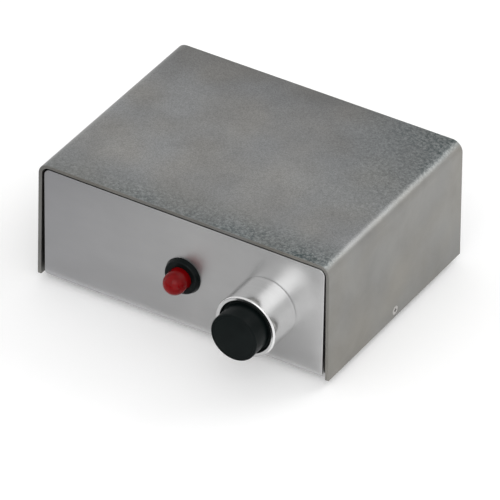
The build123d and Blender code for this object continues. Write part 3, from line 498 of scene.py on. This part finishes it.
def dress_nodes():
    """Give every carried-over CAD node the look of its material slot in the record."""
    for part in frame["record"]["subparts"]:
        mesh = NODES[part["node"]].data
        mesh.materials.clear()
        mesh.materials.append(LOOKS[part["material_slot"]])


# ---------------------------------------------------------------- fine pieces
def around(sides):
    """Angles at equal steps round a full circle, in radians."""
    return [radians(360 / sides * side) for side in range(sides)]


def skin(rings, closed=False):
    """Vertices and faces of a surface through rings of equal length; open ends are capped."""
    count = len(rings[0])
    vertices = [vertex for ring in rings for vertex in ring]
    faces = []
    for i in range(len(rings) if closed else len(rings) - 1):
        here = i * count
        there = (i + 1) % len(rings) * count
        for j in range(count):
            k = (j + 1) % count
            faces.append((here + j, here + k, there + k, there + j))
    if not closed:
        last = len(vertices) - count
        faces.append(tuple(reversed(range(count))))
        faces.append(tuple(range(last, last + count)))
    return vertices, faces


def lathe(profile, x, z, sides=32, closed=False):
    """Turn (radius, y) points in millimetres about the Y-wise axis through x, z in metres."""
    rings = []
    for radius, y in profile:
        rings.append([Vector((x + mm(radius) * cos(a), mm(y), z + mm(radius) * sin(a)))
                      for a in around(sides)])
    return skin(rings, closed)


def add_piece(name, surfaces, look, body, crease=40):
    """One object from several (vertices, faces), finished as its slot and riding on its body."""
    work = bmesh.new()
    for vertices, faces in surfaces:
        made = [work.verts.new(vertex) for vertex in vertices]
        for face in faces:
            work.faces.new([made[i] for i in face])
    bmesh.ops.recalc_face_normals(work, faces=work.faces)
    mesh = bpy.data.meshes.new(name)
    work.to_mesh(mesh)
    work.free()
    mesh.shade_smooth()
    mesh.set_sharp_from_angle(angle=radians(crease))
    mesh.materials.append(LOOKS[look])
    piece = bpy.data.objects.new(name, mesh)
    bpy.context.scene.collection.objects.link(piece)
    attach(piece, body)
    return piece


def turn_outline(inner, outer, front, back):
    """Points and outward normals, in (radius, y) mm, of the path that one turn of wire takes."""
    bend = TURN_BEND
    corners = ((outer - bend, back - bend, 0), (inner + bend, back - bend, 90),
               (inner + bend, front + bend, 180), (outer - bend, front + bend, 270))
    steps = 4
    path = []
    for radius, y, start in corners:
        for step in range(steps + 1):
            a = radians(start + 90 * step / steps)
            path.append((radius + bend * cos(a), y + bend * sin(a), cos(a), sin(a)))
    return path


def add_winding():
    """Every turn of enamelled wire round the core, side by side."""
    low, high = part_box("winding")
    x = (low[0] + high[0]) / 2
    outer = (high[0] - low[0]) / 2 * 1000
    z = high[2] - mm(outer)
    path = turn_outline(WINDING_INNER + WIRE_DEPTH, outer - WIRE_DEPTH,
                        low[1] * 1000 + WIRE_DEPTH, high[1] * 1000 - WIRE_DEPTH)
    pitch = radians(360 - WINDING_BARE) / WINDING_TURNS
    turns = []
    for number in range(WINDING_TURNS):
        middle_angle = radians(-90 + WINDING_BARE / 2) + (number + 0.5) * pitch
        outward = Vector((cos(middle_angle), 0, sin(middle_angle)))
        along = Vector((-sin(middle_angle), 0, cos(middle_angle)))
        rings = []
        for radius, y, lean_out, lean_back in path:
            middle_point = Vector((x, mm(y), z)) + outward * mm(radius)
            normal = outward * lean_out + Vector((0, lean_back, 0))
            half_width = mm(radius) * pitch * WIRE_FILL
            rings.append([middle_point + normal * mm(WIRE_DEPTH) * cos(a)
                          + along * half_width * sin(a) for a in around(6)])
        turns.append(skin(rings, closed=True))
    winding = add_piece("winding_turns", turns, "copper_winding", "case", crease=75)
    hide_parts("winding")


def add_brush_spring():
    """A coil spring between the brush and its cap."""
    low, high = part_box("brush_spring")
    axis = middle("brush_spring")
    coil = (high[0] - low[0]) / 2 * 1000 - SPRING_WIRE
    start, end = low[1] * 1000 + SPRING_WIRE, high[1] * 1000 - SPRING_WIRE
    steps = SPRING_COILS * 20
    rings = []
    for i in range(steps + 1):
        share = i / steps
        a = 2 * pi * SPRING_COILS * share
        out = Vector((cos(a), 0, sin(a)))
        point = Vector((axis.x, mm(start + (end - start) * share), axis.z)) + out * mm(coil)
        rings.append([point + (out * cos(b) + Vector((0, sin(b), 0))) * mm(SPRING_WIRE)
                      for b in around(8)])
    spring = add_piece("brush_coil_spring", [skin(rings)], "zinc_steel", "rotor", crease=80)
    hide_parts("brush_spring")
    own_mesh(spring)


def add_fuse_link():
    """Glass tube fuse: metal ends on a clear tube with a fine wire in it."""
    low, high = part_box("fuse_link")
    axis = middle("fuse_link")
    front, back = low[1] * 1000, high[1] * 1000
    cap_front, cap_back = front + FUSE_CAP_LENGTH, back - FUSE_CAP_LENGTH
    tube_front, tube_back = cap_front + FUSE_TUBE_GAP, cap_back - FUSE_TUBE_GAP
    tube = [(FUSE_TUBE_OUTER, tube_front), (FUSE_TUBE_OUTER, tube_back),
            (FUSE_TUBE_INNER, tube_back), (FUSE_TUBE_INNER, tube_front)]
    glass_tube = add_piece("fuse_glass", [lathe(tube, axis.x, axis.z, closed=True)], "glass",
                           "fuse_drawer")
    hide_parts("fuse_link")
    ends = []
    for tip, mouth, step in ((front, cap_front, FUSE_CAP_CHAMFER),
                             (back, cap_back, -FUSE_CAP_CHAMFER)):
        profile = [(FUSE_CAP_RADIUS - FUSE_CAP_CHAMFER, tip), (FUSE_CAP_RADIUS, tip + step),
                   (FUSE_CAP_RADIUS, mouth), (FUSE_CAP_MOUTH, mouth)]
        ends.append(lathe(profile, axis.x, axis.z))
    add_piece("fuse_ends", ends, "zinc_steel", "fuse_drawer")
    thread = [(FUSE_WIRE, cap_front), (FUSE_WIRE, cap_back)]
    add_piece("fuse_wire", [lathe(thread, axis.x, axis.z, sides=8)], "zinc_steel", "fuse_drawer")


def add_neon_bulb():
    """Small glow lamp: a round-ended glass envelope with two rod electrodes."""
    low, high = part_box("neon_bulb")
    axis = middle("neon_bulb")
    front, back = low[1] * 1000, high[1] * 1000
    radius = BULB_RADIUS
    outside = [(BULB_FOOT_MIDDLE, back), (radius - BULB_FOOT_INSET, back),
               (radius, back - BULB_FOOT_HEIGHT), (radius, front + radius)]
    outside += [(radius * cos(radians(a)), front + radius - radius * sin(radians(a)))
                for a in (15, 30, 45, 60, 75, 86)]
    bulb = add_piece("neon_envelope", [lathe(outside, axis.x, axis.z)], "glass", "case")
    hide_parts("neon_bulb")
    rods = []
    for side in (-ROD_SPREAD, ROD_SPREAD):
        rod = [(ROD_RADIUS, back - ROD_FOOT), (ROD_RADIUS, front + ROD_SHOULDER),
               (ROD_TIP_RADIUS, front + ROD_TIP)]
        rods.append(lathe(rod, axis.x + mm(side), axis.z, sides=12))
    add_piece("neon_electrodes", rods, "zinc_steel", "case")


# ---------------------------------------------------------------- stage and light
FLOOR_HALF = 6.0                  # metres from the middle to each edge
CARD_OUTLINE = ((-1.6, -0.06), (0.075, -0.06), (0.03, -0.13), (-0.1, -1.5), (-1.6, -1.5))
CARD_HEIGHT = 0.001               # metres above the floor
CARD_NEAR, CARD_FAR = 0.70, 0.09  # its grey close to the case and further out


def add_floor():
    """A wide white floor that glows faintly, so that it looks plain white."""
    half = FLOOR_HALF
    corners = [(-half, -half, 0), (half, -half, 0), (half, half, 0), (-half, half, 0)]
    mesh = bpy.data.meshes.new("floor")
    mesh.from_pydata(corners, [], [(0, 1, 2, 3)])
    floor = bpy.data.objects.new("floor", mesh)
    bpy.context.scene.collection.objects.link(floor)
    s = Surface("floor", Roughness=0.9, Emission_Color=rgba(grey(1.0)), Emission_Strength=0.14)
    s.feed("Base Color", s.drift(s.noise(300), grey(0.90), grey(0.93)))
    mesh.materials.append(s.material)


def add_world():
    """Soft surround: pale near the horizon, dimmer overhead."""
    world = bpy.data.worlds.new("surround")
    world.use_nodes = True
    bpy.context.scene.world = world
    nodes, links = world.node_tree.nodes, world.node_tree.links
    direction = nodes.new("ShaderNodeTexCoord").outputs["Generated"]
    parts = nodes.new("ShaderNodeSeparateXYZ")
    links.new(direction, parts.inputs[0])
    ramp = nodes.new("ShaderNodeValToRGB")
    links.new(parts.outputs["Z"], ramp.inputs["Fac"])
    stops = ((0.0, 1.0), (0.3, 0.92), (0.6, 0.88), (1.0, 0.8))
    while len(ramp.color_ramp.elements) < len(stops):
        ramp.color_ramp.elements.new(0.5)
    for element, (height, level) in zip(ramp.color_ramp.elements, stops):
        element.position = height
        element.color = (level, level, level, 1)
    links.new(ramp.outputs["Color"], nodes["Background"].inputs["Color"])


def add_softbox(name, direction, distance, size, power):
    """A square area light that faces the object; metres and watts."""
    lamp = bpy.data.lights.new(name, "AREA")
    lamp.size = size
    lamp.energy = power
    holder = bpy.data.objects.new(name, lamp)
    away = Vector(direction).normalized()
    holder.location = AIM + away * distance
    holder.rotation_mode = "QUATERNION"
    holder.rotation_quaternion = away.to_track_quat("Z", "Y")
    bpy.context.scene.collection.objects.link(holder)


def add_studio_card():
    """A card on the floor at the front left, darker further out, seen only in reflections."""
    corners = [(x, y, CARD_HEIGHT) for x, y in CARD_OUTLINE]
    mesh = bpy.data.meshes.new("studio_card")
    mesh.from_pydata(corners, [], [(0, 1, 2, 3, 4)])
    card = bpy.data.objects.new("studio_card", mesh)
    bpy.context.scene.collection.objects.link(card)
    s = Surface("studio_card", Roughness=0.9)
    uneven = s.span(s.noise(60), 0, 1, -0.03, 0.03)
    further = s.math("ADD", s.span(s.axis("Y"), -0.13, -0.24), uneven)
    s.feed("Base Color", s.ramp(further, (0.0, grey(CARD_NEAR)), (1.0, grey(CARD_FAR))))
    mesh.materials.append(s.material)
    card.visible_camera = False
    card.visible_diffuse = False
    card.visible_shadow = False


bpy.context.scene.view_settings.view_transform = "Standard"
add_camera()
add_world()
add_floor()
add_softbox("key", direction=(0.29, -0.70, 0.66), distance=2.2, size=1.6, power=9)
add_softbox("rim", direction=(0.42, 0.70, 0.56), distance=2.2, size=1.0, power=9)
add_studio_card()
dress_nodes()
add_winding()
add_brush_spring()
add_fuse_link()
add_neon_bulb()
